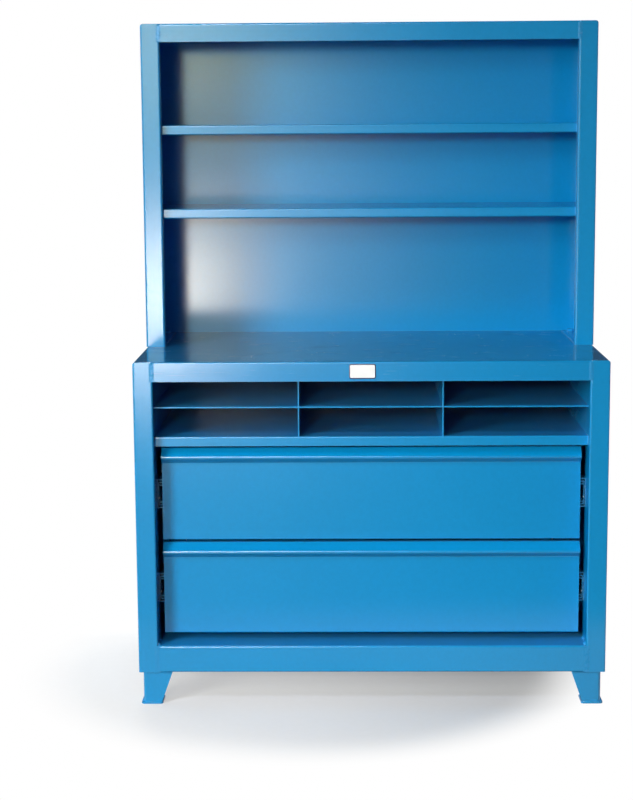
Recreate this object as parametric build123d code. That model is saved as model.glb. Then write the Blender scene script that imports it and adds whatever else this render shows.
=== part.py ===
from build123d import *
import os

# Steel bench cabinet with six pigeonholes and two drawers, and an open shelf unit standing on it.
# Sizes are in millimetres. X runs to the right, Y to the back and Z up.
# The origin lies on the floor under the middle of the base cabinet.

# Outer sizes
WIDTH = 1219.2
BASE_DEPTH = 685.8
HUTCH_DEPTH = 355.6
HUTCH_HEIGHT = 866.0
WORKTOP_HEIGHT = 905.0
LEG_HEIGHT = 86.0

# Sheets, and the outer radius of their bends
BODY_SHEET = 2.7
BODY_BEND = 4.6
SHELF_SHEET = 1.9
SHELF_BEND = 3.4
LEG_PLATE = 4.8
LEG_BEND = 9.0
HEM = 12.0
JOINT_GAP = 0.3

# Posts, rails and flanges of the two frames
POST_WIDTH = 50.8
BASE_POST_RETURN = 80.0
HUTCH_POST_RETURN = 25.0
TOP_CORNER = 8.0
TOP_EDGE_DROP = 10.0
WORKTOP_RAIL = 50.8
HUTCH_RAIL = 48.0
BOTTOM_RAIL = 71.0
BOTTOM_RAIL_RETURN = 25.0
SIDE_FLANGE = 89.0
BACK_FLANGE = 16.0
FLOOR_PAN_FLANGE = 20.0

# Pigeonholes. The drops are from the worktop's upper face to the upper faces of floor and shelf.
CUBBY_FLOOR_DROP = 198.4
CUBBY_SHELF_DROP = 120.6
CUBBY_LIP = 24.6
CUBBY_RECESS = 30.0
CUBBY_EDGE_SETBACK = 3.0
CUBBY_COLUMNS = 3

# Hutch shelves. The rises are from the worktop's upper face to the shelves' upper faces.
LOWER_SHELF_RISE = 373.0
UPPER_SHELF_RISE = 598.0
SHELF_LIP = 25.4
SHELF_LIP_RETURN = 12.0
SHELF_BACK_LIP = 20.0
BRACKET_LEG = 22.0
BRACKET_END_GAP = 20.0

# Bolts between hutch and worktop
BOLT_RADIUS = 5.0
BOLT_HOLE_RADIUS = 5.5
BOLT_HEAD_FLATS = 17.0
BOLT_HEAD_HEIGHT = 6.4
BOLT_NUT_HEIGHT = 8.0
BOLT_FRONT_INSET = 60.0
BOLT_BACK_INSET = 40.0

# Legs and foot pads
LEG_INSET = 11.0
LEG_SETBACK = 3.0
LEG_TOP_WIDTH = 77.0
LEG_FOOT_WIDTH = 48.0
PAD_PROUD = 5.5
PAD_WIDTH = 56.0
PAD_DEPTH = 63.5
PAD_FRONT_PROUD = 2.0
PAD_CORNER = 5.0
ANCHOR_HOLE_RADIUS = 7.0
ANCHOR_INSET_X = 37.5
ANCHOR_INSET_Y = 38.0

# Drawers
DRAWER_BOTTOM_GAP = 18.9
DRAWER_GAP = 6.4
DRAWER_TOP_GAP = 8.7
DRAWER_RECESS = 60.0
DRAWER_SIDE_GAP = 14.0
DRAWER_RETURN = 18.0
PULL_REACH = 22.0
PULL_DROP = 25.0
PULL_FOOT = 40.0
PULL_RADIUS = 6.0
BOX_FLOOR_RISE = 9.0
BOX_TOP_DROP = 44.0

# Ball bearing slides. Distances across a slide start at the cabinet side of its outer rail.
SLIDE_THICKNESS = 19.05
SLIDE_HEIGHT = 76.0
SLIDE_START_GAP = 1.0
SLIDE_BACK_GAP = 20.2
RAIL_SHEET = 2.0
RAIL_LIP = 4.5
RAIL_REACH = 17.0
WEB_GAP = 1.0
BALL_DIAMETER = 5.0
BALL_CLEARANCE = 0.1
BALL_OFFSET = 11.0
BALLS_IN_ROW = 3
BALL_SIDES = 6
CAGE_LENGTH = 280.0
CAGE_STRIP = 1.2
CAGE_WIDTH = 6.6
UPRIGHT_WIDTH = 50.0
MIDDLE_UPRIGHT_SHARE = 0.5
REAR_UPRIGHT_END_GAP = 5.0

# Planes and levels that follow from the sizes
HALF = WIDTH / 2
FRONT = -BASE_DEPTH / 2
BACK = BASE_DEPTH / 2
HUTCH_FRONT = BACK - HUTCH_DEPTH
TOTAL_HEIGHT = WORKTOP_HEIGHT + HUTCH_HEIGHT
SIDE_INNER = HALF - BODY_SHEET
POST_INNER = HALF - POST_WIDTH
BACK_INNER = BACK - BODY_SHEET
FLOOR_LEVEL = LEG_HEIGHT + BOTTOM_RAIL
UNDER_WORKTOP = WORKTOP_HEIGHT - BODY_SHEET
TOP_INNER_CORNER = TOP_CORNER - BODY_SHEET
LOWER_SHELF_LEVEL = WORKTOP_HEIGHT + LOWER_SHELF_RISE
UPPER_SHELF_LEVEL = WORKTOP_HEIGHT + UPPER_SHELF_RISE
CUBBY_FLOOR_LEVEL = WORKTOP_HEIGHT - CUBBY_FLOOR_DROP
CUBBY_UNDERSIDE = CUBBY_FLOOR_LEVEL - SHELF_SHEET
CUBBY_SHELF_LEVEL = WORKTOP_HEIGHT - CUBBY_SHELF_DROP
CUBBY_FRONT = FRONT + CUBBY_RECESS
CUBBY_EDGE = CUBBY_FRONT + CUBBY_EDGE_SETBACK
DRAWER_FACE = FRONT + DRAWER_RECESS
SLIDE_START = DRAWER_FACE + SHELF_SHEET + SLIDE_START_GAP
SLIDE_LENGTH = BACK_INNER - SLIDE_BACK_GAP - SLIDE_START
BOX_HALF = POST_INNER - SLIDE_THICKNESS
DRAWER_OPENING = CUBBY_FLOOR_LEVEL - CUBBY_LIP - FLOOR_LEVEL
DRAWER_HEIGHT = (DRAWER_OPENING - DRAWER_BOTTOM_GAP - DRAWER_GAP - DRAWER_TOP_GAP) / 2
DRAWER_BOTTOMS = {
    "lower": FLOOR_LEVEL + DRAWER_BOTTOM_GAP,
    "upper": FLOOR_LEVEL + DRAWER_BOTTOM_GAP + DRAWER_HEIGHT + DRAWER_GAP,
}


def along_x(outline, low, high):
    """Carry an outline drawn in Y and Z from one X to another."""
    return extrude(Plane.YZ.offset(low) * outline, amount=high - low)


def along_y(outline, low, high):
    """Carry an outline drawn in X and Z from one Y to another."""
    return extrude(Plane.XZ.offset(-high) * outline, amount=high - low)


def along_z(outline, low, high):
    """Carry an outline drawn in X and Y from one Z to another."""
    return extrude(Plane.XY.offset(low) * outline, amount=high - low)


def block(x_low, x_high, y_low, y_high, z_low, z_high):
    """A box between two corners."""
    centre = Pos((x_low + x_high) / 2, (y_low + y_high) / 2, (z_low + z_high) / 2)
    return centre * Box(x_high - x_low, y_high - y_low, z_high - z_low)


def folded(skin, sheet, bend):
    """Outline of a folded sheet. The points follow its skin and the sheet lies to their left.

    The bend is the skin's radius. A bend of one sheet thickness is sharp inside.
    """
    line = FilletPolyline(*skin, radius=bend)
    return make_face(offset(line, amount=sheet, side=Side.LEFT))


def polygon(*points):
    """A face with straight sides."""
    return make_face(Polyline(*points, close=True))


def flipped(solid):
    """The right-hand twin of a left-hand piece."""
    return mirror(solid, about=Plane.YZ)


def corners_cut(solid, half, bottom, top, low_cut, high_cut):
    """Cut the corners of a piece, as seen from the front, to clear the bends around it."""
    outline = polygon(
        (low_cut - half, bottom),
        (-half, bottom + low_cut),
        (-half, top - high_cut),
        (high_cut - half, top),
        (half - high_cut, top),
        (half, top - high_cut),
        (half, bottom + low_cut),
        (half - low_cut, bottom),
    )
    return solid & along_y(outline, FRONT, BACK)


def side_panel(front, bottom, top, post_return, flange, flange_start, flange_end):
    """Left side sheet, post face and post return folded from one sheet, with a bottom flange."""
    skin = [
        (-HALF, BACK),
        (-HALF, front),
        (-POST_INNER, front),
        (-POST_INNER, front + post_return),
    ]
    panel = along_z(folded(skin, BODY_SHEET, BODY_BEND), bottom, top)
    corner = FilletPolyline(
        (-HALF, bottom), (-HALF, top), (0, top), (0, bottom),
        radius=[0, TOP_CORNER, 0, 0], close=True,
    )
    panel &= along_y(make_face(corner), front, BACK)
    behind_face = front + BODY_SHEET
    panel -= block(-HALF - 1, -HALF + TOP_CORNER, behind_face, BACK + 1, top - TOP_EDGE_DROP, top + 1)
    panel -= block(-HALF - 1, 0, behind_face, BACK + 1, top - BODY_SHEET, top + 1)
    panel -= block(-HALF - 1, -HALF + BODY_BEND, flange_start, flange_end, bottom - 1, bottom + BODY_BEND)
    flange_skin = [
        (-HALF, bottom + 2 * BODY_BEND),
        (-HALF, bottom),
        (-HALF + flange, bottom),
    ]
    panel += along_y(folded(flange_skin, BODY_SHEET, BODY_BEND), flange_start, flange_end)
    return panel


def top_pan(front, top, rail):
    """Flat top whose side edges bend down onto the side sheets, with a rail between the posts."""
    skin = [
        (HALF, top - TOP_EDGE_DROP),
        (HALF, top),
        (-HALF, top),
        (-HALF, top - TOP_EDGE_DROP),
    ]
    pan = along_y(folded(skin, BODY_SHEET, TOP_CORNER), front + BODY_SHEET, BACK)
    pan -= block(-POST_INNER, POST_INNER, front, front + BODY_BEND, top - 2 * BODY_SHEET, top + 1)
    rail_skin = [
        (front + 2 * BODY_BEND, top),
        (front, top),
        (front, top - rail),
    ]
    pan += along_x(folded(rail_skin, BODY_SHEET, BODY_BEND), -POST_INNER, POST_INNER)
    return pan


def back_panel(bottom, top):
    """Back sheet with flanges folded forward against the side sheets, under a top pan."""
    skin = [
        (SIDE_INNER, BACK - BACK_FLANGE),
        (SIDE_INNER, BACK),
        (-SIDE_INNER, BACK),
        (-SIDE_INNER, BACK - BACK_FLANGE),
    ]
    panel = along_z(folded(skin, BODY_SHEET, BODY_BEND), bottom, top)
    return corners_cut(panel, SIDE_INNER, bottom, top, BODY_BEND - BODY_SHEET, TOP_INNER_CORNER)


def clear_of_back_flanges(pan, bottom, top):
    """Notch the rear corners of a pan round the flanges of the back sheet."""
    inner = SIDE_INNER - BODY_BEND - JOINT_GAP
    for low, high in ((-HALF, -inner), (inner, HALF)):
        pan -= block(low, high, BACK - BACK_FLANGE - JOINT_GAP, BACK, bottom - 1, top + 1)
    return pan


def bolt_places():
    """Places of the bolts that hold the hutch down, two at each side."""
    middle = HALF - POST_WIDTH / 2
    ends = (HUTCH_FRONT + BOLT_FRONT_INSET, BACK - BOLT_BACK_INSET)
    return [(x, y) for x in (-middle, middle) for y in ends]


def drilled_for_bolts(solid, bottom, top):
    """Cut the bolt holes through a sheet."""
    for x, y in bolt_places():
        hole = Pos(x, y, (bottom + top) / 2) * Cylinder(BOLT_HOLE_RADIUS, top - bottom + 2)
        solid -= hole
    return solid


def base_cabinet():
    """Sides, back, floor and worktop of the base cabinet."""
    left = side_panel(
        FRONT, LEG_HEIGHT, WORKTOP_HEIGHT, BASE_POST_RETURN,
        SIDE_FLANGE, FRONT + BOTTOM_RAIL_RETURN + JOINT_GAP, BACK,
    )
    worktop = top_pan(FRONT, WORKTOP_HEIGHT, WORKTOP_RAIL)
    worktop = drilled_for_bolts(worktop, UNDER_WORKTOP, WORKTOP_HEIGHT)
    return {
        "base_left_side": left,
        "base_right_side": flipped(left),
        "base_back_panel": back_panel(LEG_HEIGHT + BODY_SHEET, UNDER_WORKTOP),
        "base_floor_pan": floor_pan(),
        "worktop": worktop,
    }


def floor_pan():
    """Floor with flanges down the sides, notched round the posts, and the bottom front rail."""
    skin = [
        (SIDE_INNER, FLOOR_LEVEL - FLOOR_PAN_FLANGE),
        (SIDE_INNER, FLOOR_LEVEL),
        (-SIDE_INNER, FLOOR_LEVEL),
        (-SIDE_INNER, FLOOR_LEVEL - FLOOR_PAN_FLANGE),
    ]
    pan = along_y(folded(skin, BODY_SHEET, BODY_BEND), FRONT + BODY_BEND, BACK_INNER)
    for low, high in ((-HALF, -POST_INNER), (POST_INNER, HALF)):
        pan -= block(low, high, FRONT, FRONT + BASE_POST_RETURN, LEG_HEIGHT, FLOOR_LEVEL + 1)
    pan = clear_of_back_flanges(pan, FLOOR_LEVEL - FLOOR_PAN_FLANGE, FLOOR_LEVEL)
    rail_skin = [
        (FRONT + 2 * BODY_BEND, FLOOR_LEVEL),
        (FRONT, FLOOR_LEVEL),
        (FRONT, LEG_HEIGHT),
        (FRONT + BOTTOM_RAIL_RETURN, LEG_HEIGHT),
    ]
    pan += along_x(folded(rail_skin, BODY_SHEET, BODY_BEND), -POST_INNER, POST_INNER)
    return pan


def hemmed_edge(thickness):
    """Outline of a hem pressed flat, its nose at zero and its depth along the first axis."""
    bar = Pos(HEM / 2, 0) * Rectangle(HEM, 2 * thickness)
    nose = bar.vertices().group_by(Axis.X)[0]
    return chamfer(nose, thickness / 2)


def cubbies():
    """Floor, middle shelf and dividers of the pigeonholes, and walls flush with the post returns.

    Shelf and dividers are half lapped.
    """
    floor_skin = [
        (BACK_INNER, CUBBY_FLOOR_LEVEL),
        (CUBBY_FRONT, CUBBY_FLOOR_LEVEL),
        (CUBBY_FRONT, CUBBY_FLOOR_LEVEL - CUBBY_LIP),
    ]
    floor = along_x(folded(floor_skin, SHELF_SHEET, SHELF_BEND), -POST_INNER, POST_INNER)
    wall = block(
        -POST_INNER - SHELF_SHEET, -POST_INNER, FRONT + BASE_POST_RETURN + JOINT_GAP, BACK_INNER,
        CUBBY_UNDERSIDE, UNDER_WORKTOP,
    )

    lap = (CUBBY_EDGE + BACK_INNER) / 2
    shelf_under = CUBBY_SHELF_LEVEL - SHELF_SHEET
    shelf = block(
        -POST_INNER, POST_INNER, CUBBY_EDGE + HEM / 2, BACK_INNER, shelf_under, CUBBY_SHELF_LEVEL,
    )
    hem = Pos(CUBBY_EDGE, shelf_under) * hemmed_edge(SHELF_SHEET)
    shelf += along_x(hem, -POST_INNER, POST_INNER)

    dividers = {}
    pitch = 2 * POST_INNER / CUBBY_COLUMNS
    for side, x in (("left", -pitch / 2), ("right", pitch / 2)):
        sheet = SHELF_SHEET / 2
        divider = block(
            x - sheet, x + sheet, CUBBY_EDGE + HEM / 2, BACK_INNER, CUBBY_FLOOR_LEVEL, UNDER_WORKTOP,
        )
        edge = Pos(x, CUBBY_EDGE) * Rot(0, 0, 90) * hemmed_edge(SHELF_SHEET)
        divider += along_z(edge, CUBBY_FLOOR_LEVEL, UNDER_WORKTOP)
        divider -= block(
            x - 2 * sheet, x + 2 * sheet, lap, BACK, shelf_under - JOINT_GAP, CUBBY_SHELF_LEVEL + JOINT_GAP,
        )
        dividers[f"cubby_{side}_divider"] = divider
        narrow = sheet + JOINT_GAP
        wide = 2 * sheet + JOINT_GAP
        hem_end = CUBBY_EDGE + HEM + JOINT_GAP
        low = shelf_under - 2 * SHELF_SHEET
        shelf -= block(x - wide, x + wide, CUBBY_EDGE - 1, hem_end, low, CUBBY_SHELF_LEVEL + 1)
        shelf -= block(x - narrow, x + narrow, CUBBY_EDGE, lap, low, CUBBY_SHELF_LEVEL + 1)
    return {
        "cubby_floor_shelf": floor,
        "cubby_left_wall": wall,
        "cubby_right_wall": flipped(wall),
        "cubby_mid_shelf": shelf,
        **dividers,
    }


def slide_uprights():
    """Channels between side sheet and slides, from the floor pan up to the pigeonhole walls."""
    slide_end = SLIDE_START + SLIDE_LENGTH
    rear = slide_end - REAR_UPRIGHT_END_GAP - UPRIGHT_WIDTH / 2
    middle = SLIDE_START + SLIDE_LENGTH * MIDDLE_UPRIGHT_SHARE
    uprights = {}
    for place, y in (("middle", middle), ("rear", rear)):
        near = y - UPRIGHT_WIDTH / 2
        far = y + UPRIGHT_WIDTH / 2
        skin = [
            (-SIDE_INNER, near),
            (-POST_INNER, near),
            (-POST_INNER, far),
            (-SIDE_INNER, far),
        ]
        upright = along_z(folded(skin, SHELF_SHEET, SHELF_SHEET), FLOOR_LEVEL, CUBBY_UNDERSIDE)
        upright = corners_cut(
            upright, SIDE_INNER, FLOOR_LEVEL, CUBBY_UNDERSIDE, SHELF_SHEET, SHELF_SHEET,
        )
        uprights[f"slide_upright_left_{place}"] = upright
        uprights[f"slide_upright_right_{place}"] = flipped(upright)
    return uprights


def legs():
    """Four legs bent from tapered plate, each welded to a foot pad with an anchor hole."""
    corner_x = -HALF + LEG_INSET
    corner_y = FRONT + LEG_SETBACK
    skin = [
        (corner_x, corner_y + LEG_TOP_WIDTH),
        (corner_x, corner_y),
        (corner_x + LEG_TOP_WIDTH, corner_y),
    ]
    leg = along_z(folded(skin, LEG_PLATE, LEG_BEND), LEG_PLATE, LEG_HEIGHT)
    taper_x = polygon(
        (corner_x, LEG_PLATE),
        (corner_x, LEG_HEIGHT),
        (corner_x + LEG_TOP_WIDTH, LEG_HEIGHT),
        (corner_x + LEG_FOOT_WIDTH, LEG_PLATE),
    )
    taper_y = polygon(
        (corner_y, LEG_PLATE),
        (corner_y, LEG_HEIGHT),
        (corner_y + LEG_TOP_WIDTH, LEG_HEIGHT),
        (corner_y + LEG_FOOT_WIDTH, LEG_PLATE),
    )
    leg &= along_y(taper_x, corner_y, corner_y + LEG_TOP_WIDTH)
    leg &= along_x(taper_y, corner_x, corner_x + LEG_TOP_WIDTH)

    pad_x = corner_x - PAD_PROUD
    pad_y = corner_y - PAD_FRONT_PROUD
    pad = block(pad_x, pad_x + PAD_WIDTH, pad_y, pad_y + PAD_DEPTH, 0, LEG_PLATE)
    pad = chamfer(pad.edges().filter_by(Axis.Z), PAD_CORNER)
    anchor = Pos(-HALF + ANCHOR_INSET_X, FRONT + ANCHOR_INSET_Y, LEG_PLATE / 2)
    pad -= anchor * Cylinder(ANCHOR_HOLE_RADIUS, 2 * LEG_PLATE)

    pieces = {}
    for name, front_left in (("leg", leg), ("foot_pad", pad)):
        pieces[f"{name}_front_left"] = front_left
        pieces[f"{name}_front_right"] = flipped(front_left)
        pieces[f"{name}_rear_left"] = mirror(front_left, about=Plane.XZ)
        pieces[f"{name}_rear_right"] = flipped(pieces[f"{name}_rear_left"])
    return pieces


def hutch():
    """The open shelf unit that stands on the worktop."""
    flange_end = BACK - BACK_FLANGE - JOINT_GAP
    left = side_panel(
        HUTCH_FRONT, WORKTOP_HEIGHT, TOTAL_HEIGHT, HUTCH_POST_RETURN,
        POST_WIDTH - BODY_SHEET, HUTCH_FRONT + BODY_BEND, flange_end,
    )
    left = drilled_for_bolts(left, WORKTOP_HEIGHT, WORKTOP_HEIGHT + BODY_SHEET)
    return {
        "hutch_left_side": left,
        "hutch_right_side": flipped(left),
        "hutch_top": top_pan(HUTCH_FRONT, TOTAL_HEIGHT, HUTCH_RAIL),
        "hutch_back_panel": back_panel(WORKTOP_HEIGHT, TOTAL_HEIGHT - BODY_SHEET),
        "hutch_lower_shelf": hutch_shelf(LOWER_SHELF_LEVEL),
        "hutch_upper_shelf": hutch_shelf(UPPER_SHELF_LEVEL),
        "shelf_brackets": shelf_brackets(),
        "hutch_bolts": hutch_bolts(),
    }


def hutch_shelf(level):
    """Shelf pan behind the posts, with a deep front lip and a shallow back lip."""
    front = HUTCH_FRONT + HUTCH_POST_RETURN + JOINT_GAP
    skin = [
        (BACK_INNER, level - SHELF_BACK_LIP),
        (BACK_INNER, level),
        (front, level),
        (front, level - SHELF_LIP),
        (front + SHELF_LIP_RETURN, level - SHELF_LIP),
    ]
    shelf = along_x(folded(skin, SHELF_SHEET, SHELF_BEND), -SIDE_INNER, SIDE_INNER)
    return clear_of_back_flanges(shelf, level - SHELF_LIP, level)


def shelf_brackets():
    """Angles on the side sheets, one under each end of each shelf."""
    near = HUTCH_FRONT + HUTCH_POST_RETURN + SHELF_LIP_RETURN + BRACKET_END_GAP
    far = BACK - BACK_FLANGE - BRACKET_END_GAP
    brackets = []
    for level in (LOWER_SHELF_LEVEL, UPPER_SHELF_LEVEL):
        under = level - SHELF_SHEET
        skin = [
            (-SIDE_INNER + BRACKET_LEG, under),
            (-SIDE_INNER, under),
            (-SIDE_INNER, under - BRACKET_LEG),
        ]
        bracket = along_y(folded(skin, SHELF_SHEET, SHELF_SHEET), near, far)
        brackets += [bracket, flipped(bracket)]
    return Compound(brackets)


def hutch_bolts():
    """Hexagon bolts through the bottom flanges of the hutch, with their nuts under the worktop."""
    seat = WORKTOP_HEIGHT + BODY_SHEET
    hexagon = RegularPolygon(BOLT_HEAD_FLATS / 2, 6, major_radius=False)
    nut_bottom = UNDER_WORKTOP - BOLT_NUT_HEIGHT
    head = along_z(hexagon, seat, seat + BOLT_HEAD_HEIGHT)
    nut = along_z(hexagon, nut_bottom, UNDER_WORKTOP)
    shank = along_z(Circle(BOLT_RADIUS), UNDER_WORKTOP, seat)
    bolt = head + nut + shank
    return Compound([Pos(x, y) * bolt for x, y in bolt_places()])


def drawer_front(bottom):
    """Drawer front folded from one sheet, with a full-width pull along its top edge."""
    top = bottom + DRAWER_HEIGHT
    skin = [
        (DRAWER_FACE + DRAWER_RETURN, top),
        (DRAWER_FACE, top),
        (DRAWER_FACE - PULL_REACH, top - PULL_DROP),
        (DRAWER_FACE, top - PULL_FOOT),
        (DRAWER_FACE, bottom),
        (DRAWER_FACE + DRAWER_RETURN, bottom),
    ]
    bends = [SHELF_BEND, PULL_RADIUS, SHELF_BEND, SHELF_BEND]
    half = POST_INNER - DRAWER_SIDE_GAP
    return along_x(folded(skin, SHELF_SHEET, bends), -half, half)


def drawer_body(bottom):
    """Drawer floor and sides folded from one sheet, with hems along the top of the sides."""
    floor = bottom + BOX_FLOOR_RISE
    top = bottom + DRAWER_HEIGHT - BOX_TOP_DROP
    near = DRAWER_FACE + SHELF_SHEET
    far = near + SLIDE_LENGTH
    skin = [(-BOX_HALF, top - HEM / 2), (-BOX_HALF, floor), (BOX_HALF, floor), (BOX_HALF, top - HEM / 2)]
    body = along_y(folded(skin, SHELF_SHEET, SHELF_BEND), near, far)
    for side in (-1, 1):
        middle = side * (BOX_HALF - SHELF_SHEET)
        hem = Pos(middle, top) * Rot(0, 0, -90) * hemmed_edge(SHELF_SHEET)
        body += along_y(hem, near, far)
    return body


def drawer_back(bottom):
    """Drawer back between the sides, with flanges folded forward against them."""
    half = BOX_HALF - SHELF_SHEET
    far = DRAWER_FACE + SHELF_SHEET + SLIDE_LENGTH
    floor = bottom + BOX_FLOOR_RISE + SHELF_SHEET
    top = bottom + DRAWER_HEIGHT - BOX_TOP_DROP - HEM - JOINT_GAP
    skin = [(half, far - HEM), (half, far), (-half, far), (-half, far - HEM)]
    back = along_z(folded(skin, SHELF_SHEET, SHELF_SHEET), floor, top)
    return corners_cut(back, half, floor, top, SHELF_BEND - SHELF_SHEET, SHELF_SHEET)


def rail_outlines():
    """Sections of the outer, middle and inner rail of a left slide, about the slide's centre line."""
    race = BALL_DIAMETER + 2 * BALL_CLEARANCE
    side = -POST_INNER
    outer_half = SLIDE_HEIGHT / 2
    middle_half = outer_half - RAIL_SHEET - race
    inner_half = middle_half - RAIL_SHEET - race
    reach = side + RAIL_REACH
    middle_web = side + RAIL_SHEET + WEB_GAP
    outer = [
        (reach, outer_half - RAIL_LIP),
        (reach, outer_half),
        (side, outer_half),
        (side, -outer_half),
        (reach, -outer_half),
        (reach, RAIL_LIP - outer_half),
    ]
    middle = [
        (reach, middle_half),
        (middle_web, middle_half),
        (middle_web, -middle_half),
        (reach, -middle_half),
    ]
    box_side = side + SLIDE_THICKNESS
    inner_tip = middle_web + RAIL_SHEET + WEB_GAP
    inner = [
        (inner_tip, -inner_half),
        (box_side, -inner_half),
        (box_side, inner_half),
        (inner_tip, inner_half),
    ]
    return {"outer": outer, "middle": middle, "inner": inner}


def ball_rows():
    """Heights of the ball rows between outer and middle rail and between middle and inner rail."""
    race = BALL_DIAMETER + 2 * BALL_CLEARANCE
    outer_row = SLIDE_HEIGHT / 2 - RAIL_SHEET - race / 2
    return {"outer": outer_row, "inner": outer_row - race - RAIL_SHEET}


def ball():
    """A ball drawn with few flat faces, widest at its middle."""
    radius = BALL_DIAMETER / 2
    cap = radius * 0.5 ** 0.5
    middle = RegularPolygon(radius, BALL_SIDES)
    end = RegularPolygon(cap, BALL_SIDES)
    return loft([Plane.XY.offset(-cap) * end, middle, Plane.XY.offset(cap) * end], ruled=True)


def ball_cage(row, level):
    """One pair of cages, left and right: strips above and below with a row of balls in each."""
    centre = SLIDE_START + SLIDE_LENGTH / 2
    near = centre - CAGE_LENGTH / 2
    x = -POST_INNER + BALL_OFFSET
    pitch = CAGE_LENGTH / BALLS_IN_ROW
    strips = []
    for height in (level + row, level - row):
        strip = block(
            x - CAGE_WIDTH / 2, x + CAGE_WIDTH / 2, near, near + CAGE_LENGTH,
            height - CAGE_STRIP / 2, height + CAGE_STRIP / 2,
        )
        for index in range(BALLS_IN_ROW):
            strip += Pos(x, near + (index + 0.5) * pitch, height) * ball()
        strips += [strip, flipped(strip)]
    return Compound(strips)


def slides(name, bottom):
    """Two three-part slides and their ball cages for one drawer."""
    level = bottom + DRAWER_HEIGHT / 2
    pieces = {}
    for member, skin in rail_outlines().items():
        section = Pos(0, level) * folded(skin, RAIL_SHEET, RAIL_SHEET)
        rail = along_y(section, SLIDE_START, SLIDE_START + SLIDE_LENGTH)
        pieces[f"slide_{name}_left_{member}_rail"] = rail
        pieces[f"slide_{name}_right_{member}_rail"] = flipped(rail)
    for member, row in ball_rows().items():
        pieces[f"slide_{name}_{member}_ball_cages"] = ball_cage(row, level)
    return pieces


def drawer(name, bottom):
    """A drawer with its front, folded body, back and slides."""
    return {
        f"drawer_{name}_front": drawer_front(bottom),
        f"drawer_{name}_body": drawer_body(bottom),
        f"drawer_{name}_back": drawer_back(bottom),
        **slides(name, bottom),
    }


def main():
    """Build every piece and write one file for each."""
    pieces = {**base_cabinet(), **cubbies(), **slide_uprights(), **legs(), **hutch()}
    for name, bottom in DRAWER_BOTTOMS.items():
        pieces.update(drawer(name, bottom))
    os.makedirs("parts", exist_ok=True)
    for name, solid in pieces.items():
        export_step(solid, f"parts/{name}.step")


main()
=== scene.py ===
"""Finishes, small parts and studio of a steel bench cabinet with an open shelf unit on top.

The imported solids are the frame. Lengths are in metres. X runs to the right, Y to the back, Z up.
"""

import math

import bpy
import numpy as np
from mathutils import Matrix, Vector


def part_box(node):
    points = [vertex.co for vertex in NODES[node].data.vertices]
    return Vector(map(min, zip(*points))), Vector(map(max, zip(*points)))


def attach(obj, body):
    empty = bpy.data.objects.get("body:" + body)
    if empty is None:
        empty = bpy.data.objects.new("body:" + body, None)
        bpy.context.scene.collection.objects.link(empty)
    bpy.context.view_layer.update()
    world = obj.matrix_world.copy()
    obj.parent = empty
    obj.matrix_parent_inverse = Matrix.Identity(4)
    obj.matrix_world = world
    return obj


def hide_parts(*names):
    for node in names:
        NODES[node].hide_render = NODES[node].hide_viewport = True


bl_info = {
    "name": "Bench cabinet finishes",
    "version": (1, 0, 0),
    "blender": (4, 5, 0),
    "location": "3D View > Sidebar > Cabinet",
    "description": "Enamel, steel, welds, small parts and a studio for a bench cabinet",
    "category": "Material",
}

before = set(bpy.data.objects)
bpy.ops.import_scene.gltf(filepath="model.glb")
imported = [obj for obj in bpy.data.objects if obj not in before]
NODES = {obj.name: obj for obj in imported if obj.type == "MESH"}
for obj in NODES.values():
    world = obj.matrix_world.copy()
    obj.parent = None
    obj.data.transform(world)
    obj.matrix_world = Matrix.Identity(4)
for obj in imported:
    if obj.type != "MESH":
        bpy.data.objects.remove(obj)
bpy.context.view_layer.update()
# Height of the picture in pixels, and width of the camera's sensor in millimetres
IMAGE_HEIGHT = 800
SENSOR = 36.0


def low(node):
    """Lowest corner of a solid at rest."""
    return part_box(node)[0]


def high(node):
    """Highest corner of a solid at rest."""
    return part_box(node)[1]


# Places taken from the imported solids. POST is the inner edge of the front posts.
BASE_FRONT = low("worktop").y
HUTCH_FRONT = low("hutch_top").y
HALF_WIDTH = high("worktop").x
POST = high("cubby_floor_shelf").x
LEDGE = high("base_floor_pan").z
UNDERSIDE = low("base_floor_pan").z
WORKTOP = high("worktop").z
PAD_TOP = high("foot_pad_front_left").z

# Sheets: the body's with its outer bend, the one of shelves and drawers, and that of slide rails
BODY_SHEET = 0.0027
BODY_BEND = 0.0046
SHELF_SHEET = 0.0019
RAIL_SHEET = 0.002

# Faces of a new piece that meet at more than this keep a sharp edge
SHARP = math.radians(40)


def screen_colour(red, green, blue):
    """Linear colour of an 8-bit screen colour, by the sRGB curve."""
    share = np.array([red, green, blue]) / 255
    linear = np.where(share <= 0.04045, share / 12.92, ((share + 0.055) / 1.055) ** 2.4)
    return tuple(float(part) for part in linear)


def scaled(colour, factor):
    """A linear colour made lighter or darker, with full alpha."""
    return (*(min(1.0, part * factor) for part in tuple(colour)[:3]), 1.0)


# Shader maths


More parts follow.
